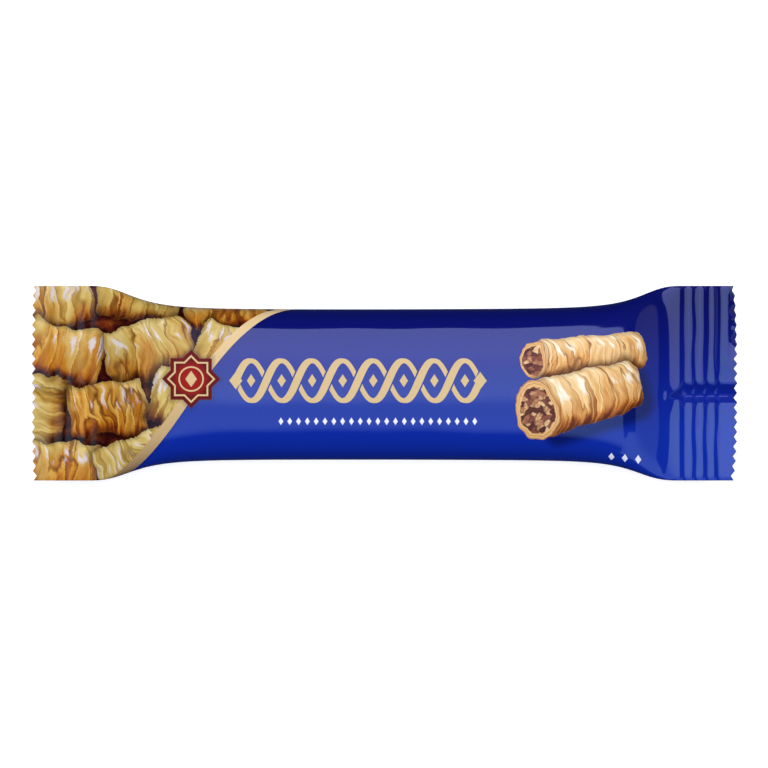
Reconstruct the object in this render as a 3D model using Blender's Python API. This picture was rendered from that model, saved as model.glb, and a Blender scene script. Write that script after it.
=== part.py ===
"""A sealed snack bar pack: a tube of printed film round a pastry bar, crimped flat at both ends.

The film tube keeps its girth from end to end. Where it is pressed flat, in the end fins, it is widest;
where the bar fills it, it is narrower and thick. The underside carries the film's lap seal, folded flat,
and the pack rests on it. +X runs along the pack, +Y across it, +Z up, and the origin is on the surface
that the pack rests on, below its middle.
"""

import math

import bmesh
import bpy

MM = 0.001

# The whole pack
PACK_LENGTH = 184.0 * MM
FILM_WIDTH = 50.8 * MM  # of the tube pressed flat, which is half its girth
BODY_WIDTH_LEFT = 38.9 * MM
BODY_WIDTH_RIGHT = 39.5 * MM
BODY_SHIFT = -0.33 * MM  # of the body's middle line from the fins' middle line
TOP_RISE = 11.0 * MM  # of the body's crown above the fins
BOTTOM_DROP = 9.0 * MM  # of the body's flat underside below the fins
RESTING_SWELL = 0.94  # how far the tube has opened where the surface below presses it flat
UNDERSIDE_EASE = 1.3  # exponent that eases the underside down to that surface
CROWN_ROUNDNESS = 2.4  # exponent of the body's section: 2 is an ellipse, more is boxier
SHOULDER_ROUNDNESS = 4.4  # the same where the section is almost flat
UNDERSIDE_ROUNDNESS = 4.0
ELLIPSE = 2.0

# The end fins, where both layers of film are crimped together
FIN_LENGTH = 14.1 * MM
FIN_THICKNESS = 0.6 * MM
RIB_COUNT = 4  # of which the last is as long as the rest of the fin
RIB_PITCH = 2.95 * MM
RIB_DEPTH = 0.4 * MM
TOOTH_COUNT = 20
TOOTH_DEPTH = 1.0 * MM
END_BOW = 0.9 * MM  # how far the cut end's corners lie behind its middle
FOLD_DEPTH = 1.4 * MM  # of the fold that crosses the ribs
FOLD_HALF_WIDTH = 2.3 * MM
FOLD_RUN_OUT = 3.0 * MM  # how far past the ribs the fold reaches, and over which it deepens

# The shoulders, where the tube opens from a fin to the body: the distance from the fin
# at which the tube has narrowed half way, and how suddenly it does so
LEFT_SHOULDER = (13.4 * MM, 3.0)
RIGHT_SHOULDER = (13.6 * MM, 3.3)
SHOULDER_LENGTH = 42.0 * MM

# The lap seal under the pack
SEAL_WIDTH = 11.0 * MM
SEAL_THICKNESS = 0.4 * MM
SEAL_STEP = 0.3 * MM  # the width over which its edge steps down

# How finely the shape is divided
CROWN_STEPS = 24
FOLD_STOP = -2 / CROWN_STEPS  # the stop along which the fold's bottom runs
UNDERSIDE_STEPS = 9  # from each edge of the pack to the seal
RIB_STEPS = 6
SHOULDER_STEPS = 13
SHOULDER_CROWDING = 1.3  # over 1 sets the shoulder's sections closer together near the fin
BODY_STEPS = 4
CURVE_STEPS = 160
HALVINGS = 30
SEAL_REACH = 1.001  # counts a stop that lies on the seal's very edge as part of it
ROUNDING = 1e-12  # of lengths along a curve

FIN_HEIGHT = SEAL_THICKNESS + BOTTOM_DROP + FIN_THICKNESS / 2
FIN_LINE = PACK_LENGTH / 2 - FIN_LENGTH  # where each fin begins, from the pack's middle
FOLD_PLACE = FOLD_STOP * FILM_WIDTH / 2
END_MARGIN = 1.0 * MM  # how far the skin reaches past the zigzag that cuts it
CUTTER_MARGIN = 2.0 * MM  # how far the cutting block reaches past the skin

FILM_BLUE = (0.006, 0.026, 0.33, 1.0)
FILM_ROUGHNESS = 0.18
SHARP_ANGLE = math.radians(40)


def clear_scene():
    for obj in list(bpy.data.objects):
        bpy.data.objects.remove(obj)


def quarter_curve(half_width, rise, roundness):
    """(y, z, arc length) along a quarter of a superellipse, from its top to its side."""
    points = []
    length = 0.0
    for step in range(CURVE_STEPS + 1):
        angle = math.pi / 2 * (1 - step / CURVE_STEPS)
        y = half_width * max(math.cos(angle), 0.0) ** (2 / roundness)
        z = rise * max(math.sin(angle), 0.0) ** (2 / roundness)
        if points:
            length += math.hypot(y - points[-1][0], z - points[-1][1])
        points.append((y, z, length))
    return points


def arch(half_width, rise, roundness, stops):
    """(y, z) at each stop of an arch over the pack: 1 is its +Y edge, 0 its crown and -1 its -Y edge."""
    curve = quarter_curve(half_width, rise, roundness)
    whole = curve[-1][2]
    found = []
    for stop in stops:
        wanted = abs(stop) * whole
        index = next(i for i in range(1, len(curve)) if curve[i][2] >= wanted - ROUNDING)
        before, after = curve[index - 1], curve[index]
        share = (wanted - before[2]) / (after[2] - before[2])
        y = before[0] + share * (after[0] - before[0])
        z = before[1] + share * (after[1] - before[1])
        found.append((math.copysign(y, stop), z))
    return found


def free_rise(half_width):
    """How high the film arches over this half width when the tube keeps its girth."""
    low, high = 0.0, FILM_WIDTH
    for _ in range(HALVINGS):
        middle = (low + high) / 2
        if quarter_curve(half_width, middle, ELLIPSE)[-1][2] < FILM_WIDTH / 2:
            low = middle
        else:
            high = middle
    return low


def flatness(from_fin, shoulder):
    """How much the tube is still pressed flat at this distance from a fin: 1 at the fin, 0 far from it."""
    half_way, suddenness = shoulder
    return 1 / (1 + (max(from_fin, 0.0) / half_way) ** suddenness)


def pressed_flat(x):
    return max(flatness(x + FIN_LINE, LEFT_SHOULDER), flatness(FIN_LINE - x, RIGHT_SHOULDER))


def half_width_at(x):
    along = min(max((x + FIN_LINE) / (2 * FIN_LINE), 0), 1)
    body = BODY_WIDTH_LEFT + (BODY_WIDTH_RIGHT - BODY_WIDTH_LEFT) * along
    return (body + (FILM_WIDTH - body) * pressed_flat(x)) / 2


def underside_swell(swell):
    """How far the underside has dropped: it reaches 1 sooner than the crown, and then stays flat."""
    short = max(1 - swell / RESTING_SWELL, 0.0)
    return 1 - short**UNDERSIDE_EASE


def rib_lift(x):
    """The crimp's ribs: broad domes across the fin, with sharp valleys between them."""
    into_fin = min(max(abs(x) - FIN_LINE, 0.0), (RIB_COUNT - 0.5) * RIB_PITCH)
    return RIB_DEPTH * abs(math.sin(math.pi * into_fin / RIB_PITCH))


def fold_drop(x, y):
    """The fold across the ribs: a sharp groove along the pack that runs out in the shoulder."""
    grown = min(max((abs(x) - FIN_LINE + FOLD_RUN_OUT) / (2 * FOLD_RUN_OUT), 0.0), 1.0)
    beside = min(abs(y - FOLD_PLACE) / FOLD_HALF_WIDTH, 1.0)
    return FOLD_DEPTH * grown * (1 - beside)


def crown_stops():
    return [1 - 2 * k / CROWN_STEPS for k in range(CROWN_STEPS + 1)]


def underside_stops():
    """Stops from the -Y edge to the +Y edge, with a pair at each edge of the lap seal."""
    seal = SEAL_WIDTH / FILM_WIDTH
    step = seal + 2 * SEAL_STEP / FILM_WIDTH
    outer = [1 + (step - 1) * k / UNDERSIDE_STEPS for k in range(UNDERSIDE_STEPS + 1)]
    inner = [seal, -FOLD_STOP, FOLD_STOP, -seal]
    falling = outer + inner + [-stop for stop in reversed(outer)]
    return [-stop for stop in falling]


def ring_at(x, fullest):
    """The closed section of the pack at x, as points: the crown from +Y to -Y, then the underside back."""
    half_width = half_width_at(x)
    swell = free_rise(half_width) / fullest
    middle = FIN_HEIGHT + rib_lift(x)
    crown = arch(
        half_width,
        TOP_RISE * swell,
        CROWN_ROUNDNESS + (SHOULDER_ROUNDNESS - CROWN_ROUNDNESS) * (1 - swell),
        crown_stops(),
    )
    dropped = underside_swell(swell)
    drop = BOTTOM_DROP * dropped
    underside = arch(
        half_width,
        drop,
        ELLIPSE + (UNDERSIDE_ROUNDNESS - ELLIPSE) * dropped,
        underside_stops(),
    )
    seal_edge = SEAL_REACH * SEAL_WIDTH / FILM_WIDTH
    section = [(y, FIN_THICKNESS / 2 + z) for y, z in crown]
    for stop, (y, z) in zip(underside_stops(), underside):
        depth = drop + SEAL_THICKNESS if abs(stop) < seal_edge else z
        section.append((y, -FIN_THICKNESS / 2 - depth))
    shift = BODY_SHIFT * (1 - pressed_flat(x))
    return [(x, y + shift, middle + z - fold_drop(x, y)) for y, z in section]


def stations():
    """Where the sections are cut: finely across the ribs and shoulders, coarsely along the body."""
    half = [FIN_LINE + k * RIB_PITCH / RIB_STEPS for k in range(RIB_COUNT * RIB_STEPS + 1)]
    half.append(PACK_LENGTH / 2 + END_MARGIN)
    for k in range(1, SHOULDER_STEPS + 1):
        half.append(FIN_LINE - SHOULDER_LENGTH * (k / SHOULDER_STEPS) ** SHOULDER_CROWDING)
    inner = FIN_LINE - SHOULDER_LENGTH
    body = [inner * (2 * k / BODY_STEPS - 1) for k in range(1, BODY_STEPS)]
    return sorted([-x for x in half] + body + half)


def loft(name, rings):
    """One closed skin through the rings, with an end face on the first and the last."""
    mesh = bpy.data.meshes.new(name)
    work = bmesh.new()
    rows = [[work.verts.new(point) for point in ring] for ring in rings]
    around = len(rows[0])
    for row, following in zip(rows, rows[1:]):
        for k in range(around):
            after = (k + 1) % around
            work.faces.new((row[k], row[after], following[after], following[k]))
    work.faces.new(reversed(rows[0]))
    work.faces.new(rows[-1])
    bmesh.ops.recalc_face_normals(work, faces=work.faces)
    work.to_mesh(mesh)
    work.free()
    obj = bpy.data.objects.new(name, mesh)
    bpy.context.scene.collection.objects.link(obj)
    return obj


def tooth_line():
    """(x, y) along the +X end's zigzag cut, from one corner to the other, slightly bowed."""
    line = []
    for k in range(2 * TOOTH_COUNT + 1):
        across = k / TOOTH_COUNT - 1
        tip = PACK_LENGTH / 2 - END_BOW * across**2
        line.append((tip - TOOTH_DEPTH * (k % 2 == 1), across * FILM_WIDTH / 2))
    return line


def tooth_cutter(name, side):
    """A hidden block beyond one end of the pack, whose near side is the zigzag. side is 1 or -1."""
    line = tooth_line()
    first, last = line[0], line[-1]
    beyond = PACK_LENGTH / 2 + END_MARGIN + CUTTER_MARGIN
    outline = [(first[0], first[1] - CUTTER_MARGIN)] + line + [(last[0], last[1] + CUTTER_MARGIN)]
    outline += [(beyond, last[1] + CUTTER_MARGIN), (beyond, first[1] - CUTTER_MARGIN)]
    mesh = bpy.data.meshes.new(name)
    work = bmesh.new()
    floor = [work.verts.new((side * x, y, 0.0)) for x, y in outline]
    base = work.faces.new(floor)
    raised = bmesh.ops.extrude_face_region(work, geom=[base])["geom"]
    top = [part for part in raised if isinstance(part, bmesh.types.BMVert)]
    bmesh.ops.translate(work, verts=top, vec=(0, 0, 2 * FIN_HEIGHT))
    bmesh.ops.recalc_face_normals(work, faces=work.faces)
    work.to_mesh(mesh)
    work.free()
    cutter = bpy.data.objects.new(name, mesh)
    bpy.context.scene.collection.objects.link(cutter)
    cutter.hide_render = True
    cutter.display_type = "WIRE"
    return cutter


def cut_teeth(pack):
    for name, side in (("left_tooth_cutter", -1), ("right_tooth_cutter", 1)):
        modifier = pack.modifiers.new(name, "BOOLEAN")
        modifier.operation = "DIFFERENCE"
        modifier.solver = "EXACT"
        modifier.object = tooth_cutter(name, side)


def film_material():
    material = bpy.data.materials.new("printed_film")
    material.use_nodes = True
    shader = material.node_tree.nodes["Principled BSDF"]
    shader.inputs["Base Color"].default_value = FILM_BLUE
    shader.inputs["Roughness"].default_value = FILM_ROUGHNESS
    shader.inputs["Metallic"].default_value = 0.0
    return material


def main():
    clear_scene()
    fullest = free_rise(min(BODY_WIDTH_LEFT, BODY_WIDTH_RIGHT) / 2)
    pack = loft("flow_wrap_pack", [ring_at(x, fullest) for x in stations()])
    pack.data.shade_smooth()
    pack.data.set_sharp_from_angle(angle=SHARP_ANGLE)
    pack.data.materials.append(film_material())
    cut_teeth(pack)


main()
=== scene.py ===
"""The looks of a sealed snack bar pack: its printed film, the lap seal under it, and a plain studio.

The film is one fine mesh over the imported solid. Its print is drawn by shader nodes in film coordinates,
in millimetres: u runs along the pack from its middle, and v runs across the film from the pack's crown
line, so that it is 25.4 at the pack's +Y edge and 50.8 at the lap seal underneath.
"""

import math

import bmesh
import bpy
import numpy as np
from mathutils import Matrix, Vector


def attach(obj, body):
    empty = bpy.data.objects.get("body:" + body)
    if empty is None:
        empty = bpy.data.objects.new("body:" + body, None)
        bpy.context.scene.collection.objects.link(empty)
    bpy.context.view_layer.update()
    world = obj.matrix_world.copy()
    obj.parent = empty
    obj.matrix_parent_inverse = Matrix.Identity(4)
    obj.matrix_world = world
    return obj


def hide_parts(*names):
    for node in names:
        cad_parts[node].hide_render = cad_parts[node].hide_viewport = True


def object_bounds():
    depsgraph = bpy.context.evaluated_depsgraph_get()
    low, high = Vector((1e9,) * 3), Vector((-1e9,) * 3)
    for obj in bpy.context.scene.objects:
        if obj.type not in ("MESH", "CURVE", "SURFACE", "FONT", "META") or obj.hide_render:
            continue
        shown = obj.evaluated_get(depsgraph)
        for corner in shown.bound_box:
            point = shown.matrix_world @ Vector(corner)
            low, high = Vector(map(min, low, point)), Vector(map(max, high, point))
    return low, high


MM = 0.001

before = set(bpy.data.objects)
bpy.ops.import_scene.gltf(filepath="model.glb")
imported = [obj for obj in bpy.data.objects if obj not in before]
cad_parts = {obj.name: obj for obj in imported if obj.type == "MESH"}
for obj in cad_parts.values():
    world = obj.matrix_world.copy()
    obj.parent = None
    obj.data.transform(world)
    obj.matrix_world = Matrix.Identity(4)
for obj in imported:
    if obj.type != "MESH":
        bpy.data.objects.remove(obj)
cad_low, cad_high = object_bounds()

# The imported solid's sizes
HALF_LENGTH = (cad_high.x - cad_low.x) / 2
HALF_FILM = (cad_high.y - cad_low.y) / 2  # of the tube pressed flat
PACK_HEIGHT = cad_high.z - cad_low.z

# The film's own shape
FILM_THICKNESS = 0.25 * MM  # of the two layers together in a fin
BODY_WIDTH_LEFT = 38.9 * MM
BODY_WIDTH_RIGHT = 39.5 * MM
BODY_SHIFT = -0.33 * MM  # of the body's middle line from the fins' middle line
FIN_HEIGHT = 9.7 * MM
FIN_LINE = HALF_LENGTH - 14.1 * MM
SEAL_THICKNESS = 0.4 * MM
TOP_RISE = PACK_HEIGHT - FIN_HEIGHT - FILM_THICKNESS / 2
BOTTOM_DROP = FIN_HEIGHT - SEAL_THICKNESS - FILM_THICKNESS / 2
LEFT_SHOULDER = (13.4 * MM, 3.0)  # from the fin to half narrowed, and how suddenly it narrows
RIGHT_SHOULDER = (13.6 * MM, 3.3)
RIGHT_SHOULDER_FAR = (12.2 * MM, 2.9)  # on its +Y side
SHOULDER_LENGTH = 42.0 * MM
RESTING_SWELL = 0.94
UNDERSIDE_EASE = 1.3
ELLIPSE = 2.0
CROWN_ROUNDNESS = 2.4
SHOULDER_ROUNDNESS = 4.4
UNDERSIDE_ROUNDNESS = 4.0

# The crimp
RIB_COUNT = 4  # of which the last is as long as the rest of the fin
RIB_PITCH = 2.95 * MM
RIB_DEPTH = 0.46 * MM
RIB_WANDER = 0.12 * MM
TOOTH_COUNT = 20
TOOTH_DEPTH = 0.95 * MM
TOOTH_UNEVENNESS = 0.2  # as a share of a tooth's depth
TOOTH_ZONE = 2.6 * MM
END_BOWS = {-1: 0.4 * MM, 1: 0.9 * MM}  # how far the cut ends' corners lie behind their middles
RIM_WIDTH = 0.85 * MM  # of the fins' side edges, which droop a little
RIM_DROP = 0.16 * MM
FOLD_WIDTHS = (1.6 * MM, 3.4 * MM)  # of the steep and the gentle side of the fold that crosses the ribs
FOLD_SPREAD = 1.1 * MM  # how much wider it is in the valleys between the ribs
FOLD_DEPTH = 1.5 * MM
FOLD_START = 3.8 * MM  # before the ribs, in the shoulder
FOLD_GROWN = 1.2 * MM  # past the start of the ribs
DIMPLE_PLACE = (73.8 * MM, -3.7 * MM)  # of the small swell where the fold runs out
DIMPLE_SIZE = (1.3 * MM, 2.6 * MM)
DIMPLE_HEIGHT = 0.24 * MM
CROWN_DENTS = 0.08 * MM
CROWN_DENT_LENGTHS = (22 * MM, 48 * MM)
OUTER_RIB_EXTRA = 0.22 * MM  # how much higher the outer ribs are on the +Y side
BEND_REACH = 2.5 * MM  # of the +X cut end, where it bends down on the +Y side
BEND_SLOPE = 0.5
BEND_UNEVENNESS = 0.2
BEND_FROM, BEND_FULL = 6 * MM, 12 * MM  # across the pack
BENT_TEETH = 0.45  # the share of their depth that the bent teeth lose

# How finely the film is divided
TOOTH_STEPS = 6
RIB_STEPS = 16
END_STEPS = 12  # of a fin past its ribs
SHOULDER_STEPS = 70
BODY_STEPS = 48
CURVE_STEPS = 400
HALVINGS = 30
SHARP_ANGLE = math.radians(30)
BAKE_FILL = 0.98  # how much of the baking square the film fills

FOLD_PLACE = -8 / TOOTH_STEPS * HALF_FILM / (TOOTH_COUNT / 2)  # on a line of the mesh

# The lap seal under the pack
SEAL_COLUMNS = 13  # of the film's mesh, on either side of the middle
SEAL_CRIMP_PITCH = 1.2 * MM
SEAL_CRIMP_DEPTH = 0.12 * MM
SEAL_CRIMP_STEPS = 4
SEAL_SHORT = 2.4 * MM  # of the pack's ends

# The film's colours, as a screen shows them; the stripe's golds also hold painted shade and painted sheen
DEEP_NAVY = (7, 12, 92)
NAVY = (8, 16, 106)
DEEP_BLUE = (9, 27, 132)
ROYAL_BLUE = (12, 35, 143)
BRIGHT_BLUE = (12, 43, 160)
PALE_GOLD = (214, 187, 134)
WHITE_INK = (238, 240, 250)
# The gold stripe's print, darker towards the -Y edge by painted shade and lighter towards the +Y edge by
# painted sheen
STRIPE_GOLDS_WITH_PAINTED_LIGHT = (
    (0.0, (142, 112, 78)),
    (0.22, (196, 164, 114)),
    (0.55, (214, 184, 130)),
    (1.0, (238, 208, 156)),
)
# Darker towards the film's +Y edge
BLUES = (
    (0.25, BRIGHT_BLUE),
    (0.43, ROYAL_BLUE),
    (0.54, DEEP_BLUE),
    (0.78, NAVY),
    (0.92, DEEP_NAVY),
)
STAR_REDS = ((0.0, (166, 22, 14)), (0.5, (136, 18, 8)), (0.62, (106, 10, 4)), (1.0, (94, 8, 3)))
SYRUP = ((0.34, (34, 5, 2)), (0.5, (88, 24, 8)), (0.62, (132, 56, 16)), (0.74, (174, 106, 42)))
NUTS = (
    (0.0, (52, 26, 20)),
    (0.3, (96, 50, 38)),
    (0.5, (134, 78, 56)),
    (0.68, (176, 118, 80)),
    (0.82, (226, 186, 130)),
    (1.0, (244, 216, 164)),
)
FIELD_SHINE = (222, 214, 220)
PAIR_SHINE = (255, 246, 228)
FIELD_PALE = (
    (0.0, (80, 34, 6)),
    (0.25, (146, 100, 30)),
    (0.5, (188, 156, 76)),
    (0.72, (211, 185, 108)),
    (1.0, (234, 214, 154)),
)
FIELD_AMBER = (
    (0.0, (68, 20, 2)),
    (0.25, (137, 64, 8)),
    (0.5, (187, 119, 28)),
    (0.75, (214, 162, 68)),
    (1.0, (234, 198, 114)),
)

# The print's places and sizes, in film coordinates and so in mm
EDGE_LINE = HALF_FILM / MM  # v at the pack's +Y edge
EDGE_BLUR = 0.05  # of a printed edge
STRIPE_PLACE = -47.5
STRIPE_SLANT = 0.695
STRIPE_BEND = 0.0046
STRIPE_SWEEP = 0.00037
STRIPE_RUN = 1.4  # its slant on the pack's sides and underneath
STRIPE_WIDTH = 2.85
STRIPE_FLARE = 0.0022
STRIPE_NARROWEST = 2.0  # v where the stripe is narrowest
STAR_PLACE = (-50.2, 1.4)
STAR_RADIUS = 7.6
CHAIN_START = -38.6
CHAIN_END = 24.8
CHAIN_EYES = 8
CHAIN_MIDDLE = 1.0
CHAIN_SWING = 5.2
CHAIN_SLOPE = CHAIN_SWING * math.pi * CHAIN_EYES / (CHAIN_END - CHAIN_START)  # where strands cross
CHAIN_GAP = 0.45  # on either side of the strand that crosses over
LONG_ROW = (-26.9, 23.4, -9.7, 2.287, 0.62, 1.0)  # start, end, v, pitch, half width and half height
SHORT_ROW = (59.0, 66.0, -19.2, 3.5, 0.8, 1.2)

# The field of rolls: middle along and across the film, turn in degrees, half length, half width, tone
ROLLS = (
    (-86.0, 21.5, 8, 9.5, 6.8, 0.40),
    (-64.0, 23.0, -6, 11.0, 6.8, 0.20),
    (-41.0, 22.0, 8, 10.5, 6.6, 0.65),
    (-18.0, 21.5, -8, 10.5, 6.8, 0.30),
    (3.5, 20.0, 10, 10.0, 6.6, 0.55),
    (-19.0, 7.5, 12, 10.5, 6.8, 0.45),
    (2.5, 6.0, -12, 10.0, 6.8, 0.35),
    (-83.5, 8.0, -16, 10.5, 7.2, 0.75),
    (-61.0, 9.0, 18, 11.5, 7.2, 0.35),
    (-39.5, 8.5, -22, 9.5, 6.8, 0.25),
    (-90.0, -7.0, 76, 9.0, 7.0, 0.15),
    (-72.0, -6.5, 7, 10.5, 7.1, 0.50),
    (-51.5, -4.0, -16, 9.0, 6.8, 0.15),
    (-85.0, -21.5, -8, 10.5, 6.8, 0.60),
    (-63.0, -20.0, 24, 12.0, 7.2, 0.10),
)
FIELD_CORNER = 1.5  # the radius of a roll's corners
FIELD_BULGE = 0.8
FIELD_PITCH = 3.4

# The two large rolls, given in the same way
BACK_ROLL = (53.4, 7.6, 5, 14.8, 5.1, 0.35)
BACK_END = (3.3, 4.9)  # half sizes of its cut end, along and across the roll
FRONT_ROLL = (53.2, -3.0, 15, 14.0, 6.9, 0.45)
FRONT_END = (5.5, 7.7)
PAIR_TAPER = 0.07  # of the front roll's half width to its length
PAIR_CORNER = 3.0
PAIR_BULGE = 3.8
PAIR_PITCH = 2.6
PAIR_PALE = (
    (0.0, (112, 56, 20)),
    (0.25, (184, 122, 60)),
    (0.5, (228, 182, 116)),
    (0.75, (248, 216, 160)),
    (1.0, (255, 243, 208)),
)
PAIR_AMBER = (
    (0.0, (96, 40, 8)),
    (0.25, (168, 92, 28)),
    (0.5, (212, 144, 64)),
    (0.75, (240, 192, 114)),
    (1.0, (252, 228, 172)),
)

# The studio, in metres
CAMERA_PLACE = (-0.15 * MM, -0.2 * MM, 2.0)
SENSOR_WIDTH = 36
FRAME_WIDTH = 200.35 * MM  # that the camera sees at the fins' height
FLOOR_REACH = 3.0
DOME_RADIUS = 2.9
REFLECTOR_HEIGHT = 1.0
SOFTBOX_PLACE = (0, 0.36, 1.0)
SOFTBOX_TARGET = (0, 0.2, 0)
SOFTBOX_SIZE = (1.8, 2.1)
SOFTBOX_RADIANCE = 2.1
WORLD_COLOUR = (0.03, 0.045, 0.12, 1)
WHITE = (1, 1, 1, 1)
BLUE_WHITE = (1.0, 1.57, 2.8, 1.0)
MIDDLE_WHITE = (1.0, 1.38, 2.3, 1.0)
SKY_WHITE = (1.0, 1.15, 2.25, 1.0)
WARM_WHITE = (1.0, 1.05, 1.3, 1.0)
LOW_FIN_WHITE = (1.0, 1.5, 1.35, 1.0)
HIGH_FIN_WHITE = (1.0, 1.14, 1.6, 1.0)
OVERHEAD_SIDE = (
    (0.12, 1.42),
    (0.28, 0.9),
    (0.44, 0.72),
    (0.66, 0.55),
    (0.78, 0.42),
    (0.91, 0.3),
    (1.03, 0.2),
    (1.03, 0.1),
    (0.99, 0.03),
    (0.98, 0.0),
    (0.8, -0.25),
    (0.5, -0.95),
)
SIDE_OUTLINE = (
    (4.0, 1.3),
    (0.85, 1.3),
    (0.85, 1.1),
    (0.95, 0.83),
    (1.05, 0.66),
    (1.17, 0.48),
    (1.34, 0.3),
    (1.57, 0.17),
    (1.8, 0.09),
    (1.95, 0.0),
    (1.7, -0.16),
    (1.5, -0.26),
    (1.0, -0.31),
    (0.65, -0.5),
    (0.5, -0.75),
    (0.3, -1.3),
    (4.0, -1.5),
)


def smooth_step(value, start, end):
    share = np.clip((value - start) / (end - start), 0, 1)
    return share * share * (3 - 2 * share)


def quarter_curve(half_width, rise, roundness):
    """y, z and arc length along a quarter of a superellipse, from its top to its side."""
    angle = np.linspace(math.pi / 2, 0, CURVE_STEPS + 1)
    y = half_width * np.cos(angle).clip(0) ** (2 / roundness)
    z = rise * np.sin(angle).clip(0) ** (2 / roundness)
    steps = np.hypot(np.diff(y), np.diff(z))
    return y, z, np.concatenate([[0], np.cumsum(steps)])


def arch(half_width, rise, roundness, stops):
    """y and z at each stop of an arch over the pack: 1 is its +Y edge, 0 its crown, -1 its -Y edge."""
    y, z, length = quarter_curve(half_width, rise, roundness)
    wanted = np.abs(stops) * length[-1]
    return np.interp(wanted, length, y) * np.sign(stops), np.interp(wanted, length, z)


def free_rise(half_width):
    """How high the film arches over this half width when the tube keeps its girth."""
    low, high = 0.0, 2 * HALF_FILM
    for _ in range(HALVINGS):
        middle = (low + high) / 2
        if quarter_curve(half_width, middle, ELLIPSE)[2][-1] < HALF_FILM:
            low = middle
        else:
            high = middle
    return low


def flatness(from_fin, shoulder):
    """How much the tube is still pressed flat at this distance from a fin: 1 at the fin, 0 far from it."""
    half_way, suddenness = shoulder
    return 1 / (1 + (max(from_fin, 0.0) / half_way) ** suddenness)


def pressed_flat(x, right_shoulder=RIGHT_SHOULDER):
    return max(flatness(x + FIN_LINE, LEFT_SHOULDER), flatness(FIN_LINE - x, right_shoulder))


def half_width_at(x, right_shoulder=RIGHT_SHOULDER):
    along = min(max((x + FIN_LINE) / (2 * FIN_LINE), 0), 1)
    body = BODY_WIDTH_LEFT + (BODY_WIDTH_RIGHT - BODY_WIDTH_LEFT) * along
    return body / 2 + (HALF_FILM - body / 2) * pressed_flat(x, right_shoulder)


def stations():
    """Where the sections are cut, from the -X end to the +X end."""
    ribs = FIN_LINE + np.arange(RIB_COUNT * RIB_STEPS) * RIB_PITCH / RIB_STEPS
    fin = np.concatenate([ribs, np.linspace(FIN_LINE + RIB_COUNT * RIB_PITCH, HALF_LENGTH, END_STEPS + 1)])
    share = np.linspace(0, 1, SHOULDER_STEPS + 1)[1:]
    shoulder = FIN_LINE - SHOULDER_LENGTH * share**1.2
    inner = FIN_LINE - SHOULDER_LENGTH
    body = np.linspace(-inner, inner, BODY_STEPS + 1)[1:-1]
    half = np.concatenate([fin, shoulder])
    return np.sort(np.concatenate([-half, body, half]))


def swells(seed, x, y, shortest, longest, count=9):
    """A gentle seeded swell over the plane, about -1 to 1, with waves between these lengths."""
    draw = np.random.default_rng(seed)
    total = np.zeros(np.broadcast(x, y).shape)
    for _ in range(count):
        length = draw.uniform(shortest, longest)
        heading = draw.uniform(0, math.pi)
        phase = draw.uniform(0, 2 * math.pi)
        along = x * math.cos(heading) + y * math.sin(heading)
        total = total + np.sin(2 * math.pi * along / length + phase)
    return total / math.sqrt(count)


def rib_wave(x):
    """1 on top of each rib of the crimp and 0 in the sharp valleys, with half a rib on the shoulder."""
    into_fin = np.clip(np.abs(x) - FIN_LINE, -RIB_PITCH / 2, (RIB_COUNT - 0.5) * RIB_PITCH)
    return np.abs(np.sin(math.pi * into_fin / RIB_PITCH))


def rib_wander(x, v):
    """How far the crimp's lines stray along the pack."""
    in_fin = smooth_step(np.abs(x), FIN_LINE, FIN_LINE + RIB_PITCH)
    off_teeth = 1 - smooth_step(np.abs(x), HALF_LENGTH - TOOTH_ZONE, HALF_LENGTH)
    return RIB_WANDER * swells(3, x, v, 9 * MM, 25 * MM) * in_fin * off_teeth


def fold_share(x, y):
    """1 along the bottom of the fold across the crimp, and 0 from its edges on."""
    grown = smooth_step(np.abs(x), FIN_LINE - FOLD_START, FIN_LINE + FOLD_GROWN)
    side_width = np.where(y < FOLD_PLACE, *FOLD_WIDTHS)
    width = (side_width + FOLD_SPREAD * (1 - rib_wave(x)) ** 2) * grown**0.8
    return np.clip(1 - np.abs(y - FOLD_PLACE) / np.maximum(width, 0.1 * MM), 0, 1), grown


def dimple(x, y):
    """1 on top of the small swell where the fold runs out into the shoulder, and 0 away from it."""
    along = (np.abs(x) - DIMPLE_PLACE[0]) / DIMPLE_SIZE[0]
    over = (y - DIMPLE_PLACE[1]) / DIMPLE_SIZE[1]
    return np.exp(-(along**2) - over**2)


def crimp_lift(x, y):
    """How far the crimp lifts the film: broad ribs, with a sharp fold across them."""
    share, grown = fold_share(x, y)
    runs_out = smooth_step(np.abs(x), FIN_LINE - 4 * RIB_PITCH, FIN_LINE - RIB_PITCH / 2)
    under_fold = smooth_step(share, 0, 0.6) * smooth_step(grown, 0, 0.1)
    outer = smooth_step(np.abs(x), FIN_LINE + 1.4 * RIB_PITCH, FIN_LINE + 3 * RIB_PITCH)
    height = RIB_DEPTH + OUTER_RIB_EXTRA * outer * smooth_step(y, 0, 8 * MM)
    ribs = height * rib_wave(x) * runs_out * (1 - under_fold)
    soft = 0.15
    groove = (np.sqrt(share**2 + soft**2) - soft) / (math.hypot(1, soft) - soft)
    return ribs - FOLD_DEPTH * groove * grown + DIMPLE_HEIGHT * dimple(x, y)


def bent_share(v, side):
    """1 where this cut end, -1 or 1, is bent down, and 0 elsewhere."""
    if side < 0:
        return np.zeros_like(v)
    return smooth_step(v, BEND_FROM, BEND_FULL) * (1 - smooth_step(v, HALF_FILM - 3 * MM, HALF_FILM))


def end_drop(x, v, side):
    """How far the bent stretch of a cut end drops, unevenly."""
    past = np.clip(side * x - (HALF_LENGTH - BEND_REACH), 0, None)
    uneven = 1 + BEND_UNEVENNESS * swells(7, x, v, 3 * MM, 7 * MM)
    return BEND_SLOPE * past * bent_share(v, side) * uneven


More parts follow.
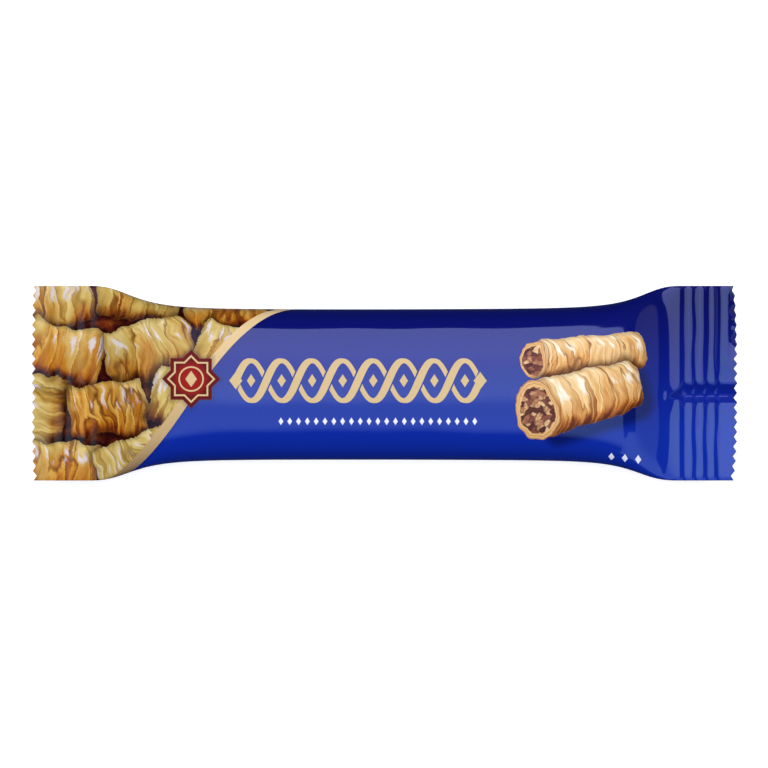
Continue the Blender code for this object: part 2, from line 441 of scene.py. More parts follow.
def tooth_cut(v, bow, side):
    """How far the cut end lies behind its furthest point: a zigzag on a slight bow."""
    count = (HALF_FILM - v) / (2 * HALF_FILM) * TOOTH_COUNT
    zigzag = 1 - np.abs(1 - 2 * (count % 1))
    depths = 1 - TOOTH_UNEVENNESS * np.random.default_rng(5).random(TOOTH_COUNT + 1)
    depth = TOOTH_DEPTH * depths[np.floor(count + 1e-6).astype(int)]
    flattened = 1 - BENT_TEETH * bent_share(v, side)
    return bow * (v / HALF_FILM) ** 4 + depth * flattened * zigzag


def toothed_end(x, v, side):
    """x with the last stations at this end, -1 or 1, drawn back to its toothed line."""
    near_end = smooth_step(side * x, HALF_LENGTH - TOOTH_ZONE, HALF_LENGTH)
    return x - side * near_end * tooth_cut(v, END_BOWS[side], side)


def rim_drop(x, v):
    """How far a fin's side edges droop."""
    over_rim = np.clip((np.abs(v) - HALF_FILM) / RIM_WIDTH + 1, 0, 1)
    return RIM_DROP * over_rim**2 * smooth_step(np.abs(x), FIN_LINE - 6 * MM, FIN_LINE)


def crown_swell(x, y):
    """Shallow dents and swells over the body's crown, none in the fins."""
    body = smooth_step(FIN_LINE - np.abs(x), 4 * MM, 22 * MM)
    inside = 1 - smooth_step(np.abs(y) / HALF_FILM, 0.45, 0.78)
    return CROWN_DENTS * swells(11, x, y, *CROWN_DENT_LENGTHS) * body * inside


def film_layers():
    """The film's upper and lower layers as grids of points, and the stops across them."""
    stops = np.linspace(1, -1, TOOTH_COUNT * TOOTH_STEPS + 1)
    where = stations()
    fullest = free_rise(min(BODY_WIDTH_LEFT, BODY_WIDTH_RIGHT) / 2)
    upper = np.zeros((len(where), len(stops), 3))
    lower = np.zeros_like(upper)
    for row, station in enumerate(where):
        half_width = half_width_at(station)
        far_reach = half_width_at(station, RIGHT_SHOULDER_FAR) / half_width
        swell = free_rise(half_width) / fullest
        dropped = 1 - max(1 - swell / RESTING_SWELL, 0.0) ** UNDERSIDE_EASE
        crown = CROWN_ROUNDNESS + (SHOULDER_ROUNDNESS - CROWN_ROUNDNESS) * (1 - swell)
        below = ELLIPSE + (UNDERSIDE_ROUNDNESS - ELLIPSE) * dropped
        flat_places = stops * HALF_FILM
        side_of_pack = 1 if station > 0 else -1
        x = toothed_end(station + rib_wander(station, flat_places), flat_places, side_of_pack)
        shift = BODY_SHIFT * (1 - pressed_flat(station))
        for layer, rise, roundness, side in (
            (upper, TOP_RISE * swell, crown, 1),
            (lower, BOTTOM_DROP * dropped, below, -1),
        ):
            y, z = arch(half_width, rise, roundness, stops)
            y = np.where(y > 0, y * far_reach, y)
            z = FIN_HEIGHT + side * (FILM_THICKNESS / 2 + z)
            z = z + crimp_lift(station, y) - rim_drop(station, flat_places)
            z = z - end_drop(x, flat_places, side_of_pack)
            layer[row] = np.stack([x, y + shift, z], axis=1)
    upper[..., 2] += crown_swell(upper[..., 0], upper[..., 1])
    return upper, lower, stops


def grid_faces(rows, columns, first):
    """The quads of a grid of points whose first point has this index."""
    index = first + np.arange(rows * columns).reshape(rows, columns)
    quads = np.stack([index[:-1, :-1], index[1:, :-1], index[1:, 1:], index[:-1, 1:]], axis=-1)
    return quads.reshape(-1, 4)


def map_film(mesh, along, around):
    """Maps a mesh of quads twice: in film coordinates, and spread over one square for baking."""
    corners = np.zeros(len(mesh.loops), dtype=np.int32)
    mesh.loops.foreach_get("vertex_index", corners)
    u = along[corners].reshape(-1, 4)
    v = around[corners].reshape(-1, 4)
    across_seam = np.ptp(v, axis=1, keepdims=True) > 3 * HALF_FILM
    v = v + 4 * HALF_FILM * (across_seam & (v < 0))
    share = np.stack([u / (2 * HALF_LENGTH), v / (4 * HALF_FILM)], axis=-1)
    for name, places in (("film", np.stack([u, v], axis=-1) / MM), ("OFBake", 0.5 + BAKE_FILL * share)):
        layer = mesh.uv_layers.new(name=name)
        layer.uv.foreach_set("vector", places.astype(np.float32).ravel())


def new_piece(name, mesh):
    obj = bpy.data.objects.new(name, mesh)
    bpy.context.scene.collection.objects.link(obj)
    return obj


def closed_sheet(name, upper, lower):
    """A mesh that closes the gap between two grids of points of the same size."""
    rows, columns = upper.shape[:2]
    half = rows * columns
    index = np.arange(half).reshape(rows, columns)
    rims = []
    for edge in (index[::-1, 0], index[:, -1], index[0], index[-1, ::-1]):
        rims.append(np.stack([edge[:-1], edge[1:], edge[1:] + half, edge[:-1] + half], axis=1))
    faces = [grid_faces(rows, columns, 0), grid_faces(rows, columns, half)[:, ::-1]] + rims
    points = np.concatenate([upper.reshape(-1, 3), lower.reshape(-1, 3)])
    mesh = bpy.data.meshes.new(name)
    mesh.from_pydata(points.tolist(), [], np.concatenate(faces).tolist())
    mesh.shade_smooth()
    mesh.set_sharp_from_angle(angle=SHARP_ANGLE)
    return mesh, points


def printed_piece(name, mesh, material):
    piece = new_piece(name, mesh)
    mesh.materials.append(material)
    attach(piece, "root")
    return piece


def film_piece(upper, lower, stops, material):
    mesh, points = closed_sheet("film", upper, lower)
    v = np.tile(stops * HALF_FILM, len(upper))
    around = np.concatenate([v, np.where(v < 0, -2 * HALF_FILM - v, 2 * HALF_FILM - v)])
    map_film(mesh, points[:, 0], around)
    piece = printed_piece("film", mesh, material)
    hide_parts("flow_wrap_pack")


def lap_seal_piece(lower, material):
    """The film's edges, sealed together and folded flat under the pack, with a fine crimp across them."""
    reach = HALF_LENGTH - SEAL_SHORT
    steps = round(2 * reach / SEAL_CRIMP_PITCH) * SEAL_CRIMP_STEPS
    along = np.linspace(-reach, reach, steps + 1)
    middle = lower.shape[1] // 2
    columns = lower[:, middle - SEAL_COLUMNS : middle + SEAL_COLUMNS + 1 : 2]
    above = np.zeros((len(along), columns.shape[1], 3))
    for k in range(columns.shape[1]):
        column = columns[:, k]
        y, z = (np.interp(along, column[:, 0], column[:, part]) for part in (1, 2))
        above[:, k] = np.stack([along, y, z], axis=1)
    below = above.copy()
    crimp = SEAL_CRIMP_DEPTH * np.abs(np.sin(math.pi * (along + reach) / SEAL_CRIMP_PITCH))
    below[..., 2] -= SEAL_THICKNESS - crimp[:, None]
    mesh, points = closed_sheet("lap_seal", above, below)
    map_film(mesh, points[:, 0], 2 * HALF_FILM - points[:, 1])
    printed_piece("lap_seal", mesh, material)


class Number:
    """A number that varies over the film. Sums on it add nodes to its material."""

    def __init__(self, nodes, socket):
        self.nodes = nodes
        self.socket = socket

    def __add__(self, other):
        return self.nodes.maths("ADD", self, other)

    def __radd__(self, other):
        return self.nodes.maths("ADD", other, self)

    def __sub__(self, other):
        return self.nodes.maths("SUBTRACT", self, other)

    def __rsub__(self, other):
        return self.nodes.maths("SUBTRACT", other, self)

    def __mul__(self, other):
        return self.nodes.maths("MULTIPLY", self, other)

    def __rmul__(self, other):
        return self.nodes.maths("MULTIPLY", other, self)

    def __truediv__(self, other):
        return self.nodes.maths("DIVIDE", self, other)

    def __pow__(self, other):
        return self.nodes.maths("POWER", self, other)

    def __abs__(self):
        return self.nodes.maths("ABSOLUTE", self)

    def sine(self):
        return self.nodes.maths("SINE", self)

    def cosine(self):
        return self.nodes.maths("COSINE", self)

    def at_least(self, other):
        return self.nodes.maths("MAXIMUM", self, other)

    def at_most(self, other):
        return self.nodes.maths("MINIMUM", self, other)

    def ramp(self, start, end):
        """0 up to start and 1 from end on, with a smooth rise between them; start may be the larger."""
        return self.nodes.smooth_ramp(self, start, end)


class Nodes:
    """Adds nodes to one tree. Wherever a socket can go, so can a plain value."""

    def __init__(self, tree):
        self.tree = tree

    def add(self, kind, inputs, **settings):
        node = self.tree.nodes.new(kind)
        for name, value in settings.items():
            setattr(node, name, value)
        for key, value in inputs.items():
            self.feed(node.inputs[key], value)
        return node

    def feed(self, socket, value):
        if isinstance(value, Number):
            value = value.socket
        if isinstance(value, bpy.types.NodeSocket):
            self.tree.links.new(value, socket)
        else:
            socket.default_value = value

    def number(self, socket):
        return Number(self, socket)

    def maths(self, operation, *values):
        node = self.add("ShaderNodeMath", dict(enumerate(values)), operation=operation)
        return self.number(node.outputs[0])

    def smooth_ramp(self, value, start, end):
        inputs = {"Value": value, "From Min": start, "From Max": end}
        node = self.add("ShaderNodeMapRange", inputs, interpolation_type="SMOOTHSTEP")
        return self.number(node.outputs["Result"])

    def vector(self, x, y, z=0.0):
        return self.add("ShaderNodeCombineXYZ", {0: x, 1: y, 2: z}).outputs[0]

    def parts(self, vector):
        node = self.add("ShaderNodeSeparateXYZ", {0: vector})
        return [self.number(part) for part in node.outputs]

    def noise(self, place, scale, detail=2.0, roughness=0.5, distortion=0.0):
        inputs = {
            "Vector": place,
            "Scale": scale,
            "Detail": detail,
            "Roughness": roughness,
            "Distortion": distortion,
        }
        return self.number(self.add("ShaderNodeTexNoise", inputs).outputs["Fac"])

    def mix(self, share, first, second, blend="MIX"):
        """The first colour where share is 0 and the second where it is 1."""
        inputs = {"Factor": share, 6: first, 7: second}
        node = self.add("ShaderNodeMix", inputs, data_type="RGBA", blend_type=blend)
        return node.outputs[2]

    def colours(self, value, stops):
        """A colour that runs through the stops (place, colour) as the value rises."""
        node = self.add("ShaderNodeValToRGB", {0: value})
        elements = node.color_ramp.elements
        elements.remove(elements[1])
        elements[0].position, elements[0].color = stops[0][0], screen(stops[0][1])
        for place, colour in stops[1:]:
            elements.new(place).color = screen(colour)
        return node.outputs[0]


def screen(colour):
    """The light of a colour given as a screen shows it, in parts of 255."""
    light = []
    for part in colour:
        share = part / 255
        light.append(share / 12.92 if share <= 0.04045 else ((share + 0.055) / 1.055) ** 2.4)
    return (*light, 1.0)


def inside(distance):
    """1 where the distance to a shape's outline is negative, and 0 outside it."""
    return distance.ramp(EDGE_BLUR, -EDGE_BLUR)


def lozenge(x, y, half_width, half_height):
    """The distance to a lozenge about the origin, nearly."""
    slimness = half_width * half_height / (half_width + half_height)
    return (abs(x) / half_width + abs(y) / half_height - 1) * slimness


def stripe_line(across):
    """Where along the pack the stripe's inner edge lies: a slanting line with a slight double bend."""
    return STRIPE_PLACE + across * (STRIPE_SLANT + across * (STRIPE_BEND + across * STRIPE_SWEEP))


def darkened(nodes, colour, light):
    """The colour where light is 1, and a deep brown of it where light is 0."""
    return nodes.mix(light, nodes.mix(0.9, colour, screen((60, 20, 10)), "MULTIPLY"), colour)


def stripe(u, v):
    """How far a place lies past the stripe's pastry side and past its blue side."""
    across = v.at_least(-EDGE_LINE).at_most(EDGE_LINE)
    line = stripe_line(across) + (v - across) * STRIPE_RUN
    width = STRIPE_WIDTH + STRIPE_FLARE * (across - STRIPE_NARROWEST) ** 2.0
    return u - (line - width), u - line


def roll_group():
    """A node group that lays one pastry roll over those below it.

    It hands on the place on the topmost roll (along it, and across it from -1 to 1), that roll's tone,
    and how much light reaches it past the rolls above.
    """
    tree = bpy.data.node_groups.new("roll_over_others", "ShaderNodeTree")
    kinds = {"VECTOR": "NodeSocketVector", "NUMBER": "NodeSocketFloat"}
    for name, kind in (
        ("Film", "VECTOR"),
        ("Centre", "VECTOR"),
        ("Angle", "NUMBER"),
        ("Half Length", "NUMBER"),
        ("Half Width", "NUMBER"),
        ("Taper", "NUMBER"),
        ("Corner", "NUMBER"),
        ("Tone", "NUMBER"),
        ("Place", "VECTOR"),
        ("Light", "NUMBER"),
    ):
        tree.interface.new_socket(name=name, in_out="INPUT", socket_type=kinds[kind])
    tree.interface.new_socket(name="Place", in_out="OUTPUT", socket_type=kinds["VECTOR"])
    tree.interface.new_socket(name="Light", in_out="OUTPUT", socket_type=kinds["NUMBER"])
    nodes = Nodes(tree)
    given = tree.nodes.new("NodeGroupInput").outputs
    result = tree.nodes.new("NodeGroupOutput")
    offset = nodes.add("ShaderNodeVectorMath", {0: given["Film"], 1: given["Centre"]}, operation="SUBTRACT")
    turned = nodes.add(
        "ShaderNodeVectorRotate",
        {"Vector": offset.outputs[0], "Angle": given["Angle"]},
        rotation_type="Z_AXIS",
    )
    along, across, _ = nodes.parts(turned.outputs[0])
    corner = nodes.number(given["Corner"])
    half_width = nodes.number(given["Half Width"]) - nodes.number(given["Taper"]) * along
    over_end = (abs(along) - (nodes.number(given["Half Length"]) - corner)).at_least(0.0)
    over_side = (abs(across) - (half_width - corner)).at_least(0.0)
    distance = (over_end * over_end + over_side * over_side) ** 0.5 - corner
    covered = inside(distance)
    place = nodes.vector(along, across / half_width, given["Tone"])
    pick = nodes.add(
        "ShaderNodeMix", {"Factor": covered, 4: given["Place"], 5: place}, data_type="VECTOR"
    )
    shadow = distance.ramp(-0.2, 2.6) * 0.85 + 0.15
    below = nodes.number(given["Light"]) * shadow
    own = distance.ramp(0.0, -1.2) * 0.4 + 0.6
    light = below + (own - below) * covered
    nodes.feed(result.inputs["Place"], pick.outputs[1])
    nodes.feed(result.inputs["Light"], light)
    return tree


def lay_roll(nodes, group, film, roll, place, light, taper=0.0, corner=FIELD_CORNER):
    """Lays a roll (middle u and v, turn, half length, half width, tone) over the place and light below."""
    along, over, turn, half_length, half_width, tone = roll
    inputs = {
        "Film": film,
        "Centre": (along, over, 0.0),
        "Angle": math.radians(-turn),
        "Half Length": half_length,
        "Half Width": half_width,
        "Taper": taper,
        "Corner": corner,
        "Tone": tone,
        "Place": place,
        "Light": light,
    }
    node = nodes.tree.nodes.new("ShaderNodeGroup")
    node.node_tree = group
    for name, value in inputs.items():
        nodes.feed(node.inputs[name], value)
    return node.outputs["Place"], nodes.number(node.outputs["Light"])


def pastry_field(nodes, group, u, across):
    """Pale and amber pastry rolls, close together over dark syrup."""
    torn = nodes.noise(nodes.vector(u, across), 1.1, detail=4.0, roughness=0.65) - 0.5
    slow = nodes.noise(nodes.vector(u, across, 4.0), 0.15, detail=1.0) - 0.5
    film = nodes.vector(u + torn * 1.1 + slow * 4.5, across - torn * 1.1 + slow * 5.5)
    place, light = (0.0, 0.0, -1.0), 1.0
    for roll in ROLLS:
        place, light = lay_roll(nodes, group, film, roll, place, light)
    along, across_roll, tone = nodes.parts(place)
    pastry = pastry_colour(
        nodes, along, across_roll, tone, FIELD_PALE, FIELD_AMBER, FIELD_SHINE, FIELD_BULGE, FIELD_PITCH
    )
    syrup_spots = nodes.noise(nodes.vector(u, across, 7.0), 0.3, detail=5.0)
    covered = tone.ramp(-0.5, -0.1)
    picture = nodes.mix(covered, nodes.colours(syrup_spots, SYRUP), pastry)
    return darkened(nodes, picture, light)


def folds(nodes, bent, across, seed, pitch):
    """Light and shade, about -1 to 1, of uneven folds that run round a roll about this far apart."""
    shifted = []
    for shift in (-0.2, 0.2):
        place = nodes.vector(bent / pitch + shift, across * 0.7, seed)
        shifted.append(nodes.noise(place, 1.0, detail=3.0, roughness=0.45, distortion=0.4))
    return (shifted[0] - shifted[1]) * 5.0


def pastry_colour(nodes, along, across, tone, pale_stops, amber_stops, shine_colour, bulge, pitch):
    """Baked pastry sheets wound round a roll: pale and glossy on top, amber below, with uneven folds.

    bulge is how far the sheets' edges bow along the roll, and pitch is about how far apart folds are.
    """
    seed = tone * 91.0
    round_side = (1.0 - across * across).at_least(0.0) ** 0.5
    bent = along - round_side * bulge
    browned = nodes.noise(nodes.vector(along * 0.13, across * 0.6, seed + 5.0), 1.0, detail=2.0)
    broad = folds(nodes, bent, across, seed, pitch)
    narrow = folds(nodes, bent, across * 1.4, seed + 2.0, pitch * 0.35)
    edge = across.ramp(-0.45, -1.0) * 0.32
    crumpled = browned.ramp(0.4, 0.65)
    sheet = nodes.noise(
        nodes.vector(bent / pitch * 0.85, across * 0.28, seed + 8.0), 1.0, detail=1.5, distortion=0.25
    ) - 0.5
    ridge = sheet.ramp(0.0, 0.015) * sheet.ramp(0.1, 0.02)
    under = sheet.ramp(0.0, -0.015) * sheet.ramp(-0.12, -0.02)
    lit = across * 0.16 + 0.56 + broad * 0.14 + narrow * (crumpled * 0.12 + 0.02) - edge
    lit = lit + ridge * 0.13 - under * 0.13
    amber_share = (tone + browned * 1.5 - 0.75 - across * 0.3).ramp(0.15, 0.85)
    toned = nodes.mix(amber_share, nodes.colours(lit, pale_stops), nodes.colours(lit, amber_stops))
    seam = nodes.maths("PINGPONG", bent + narrow * 0.25 + tone * 23.0, pitch * 1.25)
    line = abs(sheet + 0.006).ramp(0.022, 0.0) * (crumpled * 0.5 + 0.3)
    crease = (seam.ramp(0.22, 0.05) * browned.ramp(0.35, 0.6) * 0.75).at_least(line)
    creased = nodes.mix(crease, toned, screen((104, 52, 16)))
    shine_noise = nodes.noise(nodes.vector(bent * 0.75, across * 1.1, seed + 3.0), 1.0, detail=3.0)
    on_top = (across - 0.42).ramp(-0.5, -0.1) * (across - 0.42).ramp(0.5, 0.2)
    shine = (shine_noise + broad * 0.08 + ridge * 0.05).ramp(0.54, 0.66) * on_top * 0.8
    return nodes.mix(shine, creased, screen(shine_colour))


def star_seal(u, v):
    """How far outside an eight-pointed star of two squares a place lies, and how far from its middle."""
    x, y = u - STAR_PLACE[0], v - STAR_PLACE[1]
    upright = abs(x).at_least(abs(y)) - STAR_RADIUS * math.cos(math.pi / 4)
    turned = (abs(x) + abs(y)) * math.cos(math.pi / 4) - STAR_RADIUS * math.cos(math.pi / 4)
    return upright.at_most(turned), (x * x + y * y) ** 0.5


def add_star(nodes, u, v, ground):
    """A red star with a gold line, ring and lozenge, and where it covers the film."""
    distance, radius = star_seal(u, v)
    red = nodes.colours(radius / STAR_RADIUS, STAR_REDS)
    line = inside(abs(distance + 1.15) - 0.22)
    ring = inside(abs(radius - 3.1) - 0.2)
    dot = inside(lozenge(u - STAR_PLACE[0], v - STAR_PLACE[1], 1.5, 2.1))
    star = nodes.mix(line.at_least(ring).at_least(dot), red, screen(PALE_GOLD))
    shade = distance.ramp(1.4, 0.0) * 0.35
    ground = nodes.mix(shade, ground, screen((20, 6, 10)))
    return nodes.mix(inside(distance), ground, star), inside(distance)


def chain_strand(turn, height, side):
    """The distance to one of the chain's two strands, which is broad where it rises."""
    rising = turn.cosine() * CHAIN_SLOPE * side
    stroke = 0.62 + (rising / CHAIN_SLOPE).at_least(0.0) * 0.42
    return abs(height - turn.sine() * CHAIN_SWING * side) / (rising * rising + 1.0) ** 0.5 - stroke


def add_chain(nodes, u, v, ground):
    """A pale gold chain of two strands that cross, with a lozenge in each eye and at each end."""
    turn = (u - CHAIN_START) * (math.pi * CHAIN_EYES / (CHAIN_END - CHAIN_START))
    height = v - CHAIN_MIDDLE
    one = chain_strand(turn, height, 1)
    other = chain_strand(turn, height, -1)
    one_over = turn.cosine().ramp(-0.02, 0.02)
    one_shows = inside(one) * (1 - inside(other - CHAIN_GAP) * (1 - one_over))
    other_shows = inside(other) * (1 - inside(one - CHAIN_GAP) * one_over)
    within = inside(abs(u - (CHAIN_START + CHAIN_END) / 2) - (CHAIN_END - CHAIN_START) / 2)
    strands = one_shows.at_least(other_shows) * within
    eye = (CHAIN_END - CHAIN_START) / CHAIN_EYES
    from_eye = eye / 2 - nodes.maths("PINGPONG", u - CHAIN_START, eye / 2)
    gems = inside(lozenge(from_eye, height, 1.1, 1.7)) * within
    from_end = abs(u - (CHAIN_START + CHAIN_END) / 2) - (CHAIN_END - CHAIN_START) / 2
    gems = gems.at_least(inside(lozenge(from_end, height, 1.7, 2.3)))
    return nodes.mix(strands.at_least(gems), ground, screen(PALE_GOLD))


def add_lozenge_row(nodes, u, v, ground, row):
    """A row of small white lozenges: start, end, v, pitch, half width and half height."""
    start, end, place, pitch, half_width, half_height = row
    from_one = nodes.maths("PINGPONG", u - start, pitch / 2)
    middle, half = (start + end) / 2, (end - start) / 2 + pitch / 3
    shape = inside(lozenge(from_one, v - place, half_width, half_height))
    return nodes.mix(shape * inside(abs(u - middle) - half), ground, screen(WHITE_INK))


def cut_end(nodes, film, roll, half_sizes):
    """How far from a roll's cut end's middle a place is, as a share of its rim, and the end's colour."""
    along, over, turn, half_length, _, tone = roll
    angle = math.radians(turn)
    middle = (along - half_length * math.cos(angle), over - half_length * math.sin(angle), 0.0)
    offset = nodes.add("ShaderNodeVectorMath", {0: film, 1: middle}, operation="SUBTRACT").outputs[0]
    turned = nodes.add(
        "ShaderNodeVectorRotate", {"Vector": offset, "Angle": -angle}, rotation_type="Z_AXIS"
    )
    x, y, _ = nodes.parts(turned.outputs[0])
    x, y = x / half_sizes[0], y / half_sizes[1]
    rim = (x * x + y * y) ** 0.5
    chips = nodes.add(
        "ShaderNodeTexVoronoi",
        {"Vector": nodes.vector(x * half_sizes[0], y * half_sizes[1], tone * 40), "Scale": 0.75},
    )
    chip_tone = nodes.parts(chips.outputs["Color"])[0]
    grit = nodes.noise(film, 1.6, detail=4.0, roughness=0.7)
    nuts = nodes.colours(chip_tone * 0.7 + grit * 0.7 - 0.2, NUTS)
    between = nodes.number(chips.outputs["Distance"]).ramp(0.55, 0.8) * 0.6
    nuts = nodes.mix(between, nuts, screen((60, 26, 20)))
    wound = (rim * 60.0 + nodes.noise(film, 0.6) * 5.0).sine() * 0.5 + 0.5
    sheets = nodes.mix(wound, screen((206, 150, 92)), screen((236, 192, 128)))
    ragged = rim + (nodes.noise(film, 1.1, detail=3.0) - 0.5) * 0.16
    end = nodes.mix(ragged.ramp(0.76, 0.80), nuts, sheets)
    return rim, nodes.mix(rim.ramp(0.9, 1.0) * 0.45, end, screen((150, 92, 44)))


def add_roll_pair(nodes, group, u, v, ground):
    """Two large rolls, the front one leaning up to the right, with their cut ends to the left."""
    torn = nodes.noise(nodes.vector(u, v, 3.0), 0.8, detail=3.0) - 0.5
    slow = nodes.noise(nodes.vector(u, v, 9.0), 0.18, detail=1.0) - 0.5
    film = nodes.vector(u + torn * 0.7 + slow * 2.5, v - torn * 0.7 + slow * 3.0)
    below = nodes.vector(u - 1.6, v + 2.0)
    place, shadow = lay_roll(
        nodes, group, below, FRONT_ROLL, (0.0, 0.0, -1.0), 1.0, PAIR_TAPER, PAIR_CORNER
    )
    covered = nodes.parts(place)[2].ramp(-0.5, -0.1)
    shade = covered.at_least(1 - shadow) * 0.75
    ground = nodes.mix(shade, ground, screen((5, 9, 62)))
    pair = 0.0
    for roll, end_sizes, taper in ((BACK_ROLL, BACK_END, 0.0), (FRONT_ROLL, FRONT_END, PAIR_TAPER)):
        place, light = lay_roll(
            nodes, group, film, roll, (0.0, 0.0, -1.0), 1.0, taper, PAIR_CORNER
        )
        along, across, tone = nodes.parts(place)
        covered = tone.ramp(-0.5, -0.1)
        pastry = pastry_colour(
            nodes, along, across, tone, PAIR_PALE, PAIR_AMBER, PAIR_SHINE, PAIR_BULGE, PAIR_PITCH
        )
        rim, end = cut_end(nodes, film, roll, end_sizes)
        on_end = (rim - 1.0).ramp(0.01, -0.01)
        near = (rim - 1.0).ramp(0.28, 0.0) * 0.5
        pastry = nodes.mix(near, darkened(nodes, pastry, light), screen((150, 92, 40)))
        if roll is FRONT_ROLL:
            ground = nodes.mix((1 - light) * (1 - covered) * pair, ground, screen((70, 34, 12)))
        ground = nodes.mix(covered, ground, pastry)
        ground = nodes.mix(on_end, ground, end)
        pair = covered.at_least(on_end).at_least(pair)
    return ground, pair


def printed_film():
    """The glossy film's material, with the whole print laid over it from the ground up, and painted shade
    and painted sheen in the gold stripe.
    """
    material = bpy.data.materials.new("printed_film")
    material.use_nodes = True
    nodes = Nodes(material.node_tree)
    shader = material.node_tree.nodes["Principled BSDF"]
    film = nodes.add("ShaderNodeUVMap", {}, uv_map="film").outputs[0]
    u, v, _ = nodes.parts(film)
    across = nodes.maths("PINGPONG", v + EDGE_LINE, 2 * EDGE_LINE) - EDGE_LINE
    share_across = (across + EDGE_LINE) / (2 * EDGE_LINE)
    blue = nodes.colours(share_across, BLUES)
    past_pastry, past_stripe = stripe(u, v)
    group = roll_group()
    picture = pastry_field(nodes, group, u, across)
    shade = past_stripe.ramp(2.2, 0.0) * 0.25
    ground = nodes.mix(shade, blue, screen((4, 8, 60)))
    ground = add_chain(nodes, u, v, ground)
    ground = add_lozenge_row(nodes, u, v, ground, LONG_ROW)
    ground = add_lozenge_row(nodes, u, v, ground, SHORT_ROW)
    ground, pair = add_roll_pair(nodes, group, u, v, ground)
    # The gold stripe, with painted shade towards the -Y edge and painted sheen towards the +Y edge
    ground = nodes.mix(inside(past_stripe), ground, nodes.colours(share_across, STRIPE_GOLDS_WITH_PAINTED_LIGHT))
    ground = nodes.mix(inside(past_pastry), ground, picture)
    ground, star = add_star(nodes, u, v, ground)
    nodes.feed(shader.inputs["Base Color"], ground)
    smudge = nodes.noise(film, 0.12, detail=3.0)
    pale_ink = nodes.parts(ground)[0].ramp(0.08, 0.3)
    matt = (inside(past_stripe) * 0.76).at_least(pair * 0.9).at_least(pale_ink * 0.9).at_least(star)
    nodes.feed(shader.inputs["Roughness"], smudge * 0.04 + 0.04 + matt * 0.16)
    nodes.feed(shader.inputs["Specular IOR Level"], 0.5 - matt * 0.42)
    shader.inputs["IOR"].default_value = 1.5
    return material


def aim(obj, target):
    """Turns a lamp or camera at its place to face the target."""
    direction = Vector(target) - obj.location
    obj.rotation_euler = direction.to_track_quat("-Z", "Y").to_euler()


def panel(name, place, target, size, radiance):
    """A rectangular studio lamp of this radiance, which neither the camera nor gloss sees."""
    lamp = bpy.data.lights.new(name, "AREA")
    lamp.shape = "RECTANGLE"
    lamp.size, lamp.size_y = size
    lamp.energy = radiance * math.pi * size[0] * size[1]
    obj = new_piece(name, lamp)
    obj.location = place
    aim(obj, target)
    obj.visible_camera = False
    obj.visible_glossy = False


def stage_piece(name, mesh, material):
    obj = new_piece(name, mesh)
    mesh.materials.append(material)
    return obj


def glow(name, light):
    """A material that only shines. light makes its colour and strength from the material's nodes."""
    material = bpy.data.materials.new(name)
    material.use_nodes = True
    tree = material.node_tree
    tree.nodes.clear()
    nodes = Nodes(tree)
    colour, strength = light(nodes)
    shine = nodes.add("ShaderNodeEmission", {"Color": colour, "Strength": strength})
    nodes.add("ShaderNodeOutputMaterial", {"Surface": shine.outputs[0]})
    return material


def reflector(name, outline, light):
    """A flat shape above the pack that only gloss shows, so that it draws a highlight's outline."""
    mesh = bpy.data.meshes.new(name)
    mesh.from_pydata([(x, y, 0) for x, y in outline], [], [range(len(outline))])
    obj = stage_piece(name, mesh, glow(name, light))
    obj.location.z = REFLECTOR_HEIGHT
    obj.visible_camera = False
    obj.visible_diffuse = False
    obj.visible_shadow = False


def overhead_light(nodes):
    """Bright on the +Y side and weaker and bluer on the -Y side, where it fades out."""
    x, y, _ = nodes.parts(nodes.add("ShaderNodeTexCoord", {}).outputs["Object"])
    strength = y.ramp(-0.2, -0.02) * 0.78 + y.ramp(0.0, 0.35) * 0.42 + 0.68
    faded = (1 - abs(x).ramp(0.1, 1.0) * 0.12) * y.ramp(-0.95, -0.55)
    near_side = nodes.mix(y.ramp(-0.12, -0.03), BLUE_WHITE, MIDDLE_WHITE)
    over_body = nodes.mix(y.ramp(0.03, 0.18), near_side, SKY_WHITE)
    over_fins = nodes.mix(y.ramp(-0.015, 0.015), LOW_FIN_WHITE, HIGH_FIN_WHITE)
    at_fins = abs(x).ramp(0.1, 0.25) * abs(y).ramp(0.14, 0.06)
    return nodes.mix(at_fins, over_body, over_fins), strength * faded


def side_light(nodes):
    """Weak, and stronger and bluer towards the -Y side."""
    x, y, _ = nodes.parts(nodes.add("ShaderNodeTexCoord", {}).outputs["Object"])
    tint = nodes.mix(y.ramp(-0.15, 0.15), BLUE_WHITE, SKY_WHITE)
    strength = x.ramp(2.0, 1.0) * y.ramp(0.1, -0.3) * 0.34 + 0.37
    return nodes.mix(y.ramp(0.15, 0.45), tint, WARM_WHITE), strength


def add_world():
    world = bpy.data.worlds.new("studio")
    world.use_nodes = True
    world.node_tree.nodes["Background"].inputs["Color"].default_value = WORLD_COLOUR
    bpy.context.scene.world = world


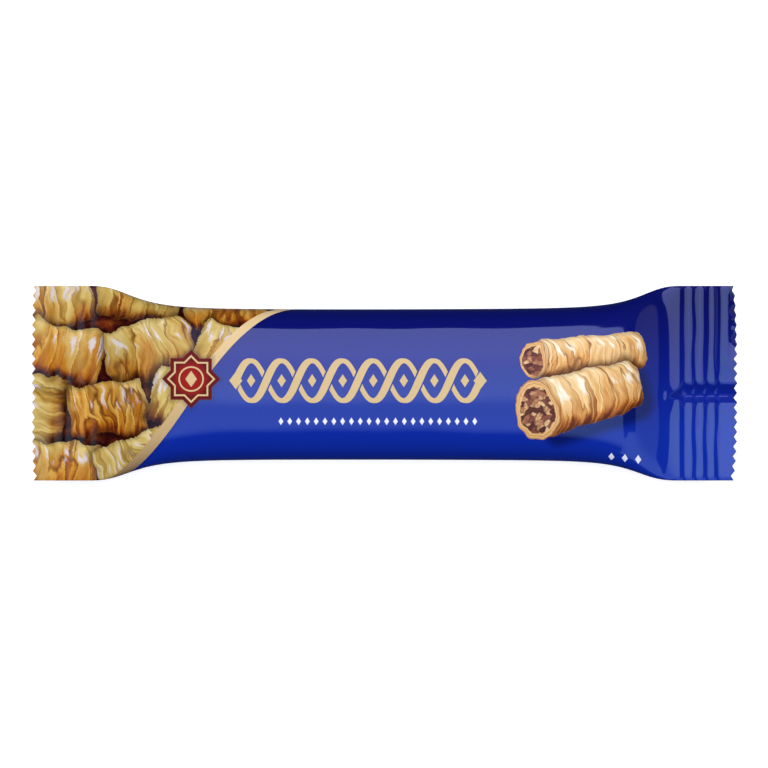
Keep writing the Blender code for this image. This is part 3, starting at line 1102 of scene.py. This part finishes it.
def add_floor():
    """A pale floor with a glow of its own, which gloss and bounced light don't see."""
    corners = [(x * FLOOR_REACH, y * FLOOR_REACH, 0) for x, y in ((-1, -1), (1, -1), (1, 1), (-1, 1))]
    mesh = bpy.data.meshes.new("floor")
    mesh.from_pydata(corners, [], [(0, 1, 2, 3)])
    material = bpy.data.materials.new("pale_floor")
    material.use_nodes = True
    inputs = material.node_tree.nodes["Principled BSDF"].inputs
    inputs["Base Color"].default_value = (0.8, 0.8, 0.8, 1)
    inputs["Roughness"].default_value = 1.0
    inputs["Specular IOR Level"].default_value = 0.0
    inputs["Emission Color"].default_value = WHITE
    inputs["Emission Strength"].default_value = 0.6
    floor = stage_piece("floor", mesh, material)
    floor.visible_glossy = False
    floor.visible_diffuse = False


def add_backdrop():
    """A white dome round the pack that only the camera sees."""
    shape = bmesh.new()
    bmesh.ops.create_uvsphere(shape, u_segments=48, v_segments=24, radius=DOME_RADIUS)
    mesh = bpy.data.meshes.new("backdrop")
    shape.to_mesh(mesh)
    shape.free()
    dome = stage_piece("backdrop", mesh, glow("backdrop", lambda nodes: (WHITE, 1.0)))
    dome.visible_diffuse = False
    dome.visible_glossy = False
    dome.visible_shadow = False


def add_camera():
    """Looks straight down on the pack."""
    data = bpy.data.cameras.new("camera")
    data.sensor_width = SENSOR_WIDTH
    data.lens = SENSOR_WIDTH * (CAMERA_PLACE[2] - FIN_HEIGHT) / FRAME_WIDTH
    camera = new_piece("camera", data)
    camera.location = CAMERA_PLACE
    bpy.context.scene.camera = camera


upper_layer, lower_layer, film_stops = film_layers()
film_material = printed_film()
film_piece(upper_layer, lower_layer, film_stops, film_material)
lap_seal_piece(lower_layer, film_material)

other_side = [(-x, y) for x, y in reversed(OVERHEAD_SIDE)]
reflector("overhead_reflector", list(OVERHEAD_SIDE) + other_side, overhead_light)
reflector("side_reflector", SIDE_OUTLINE, side_light)
panel("overhead_softbox", SOFTBOX_PLACE, SOFTBOX_TARGET, SOFTBOX_SIZE, SOFTBOX_RADIANCE)
add_world()
add_floor()
add_backdrop()
add_camera()
bpy.context.scene.view_settings.view_transform = "Standard"
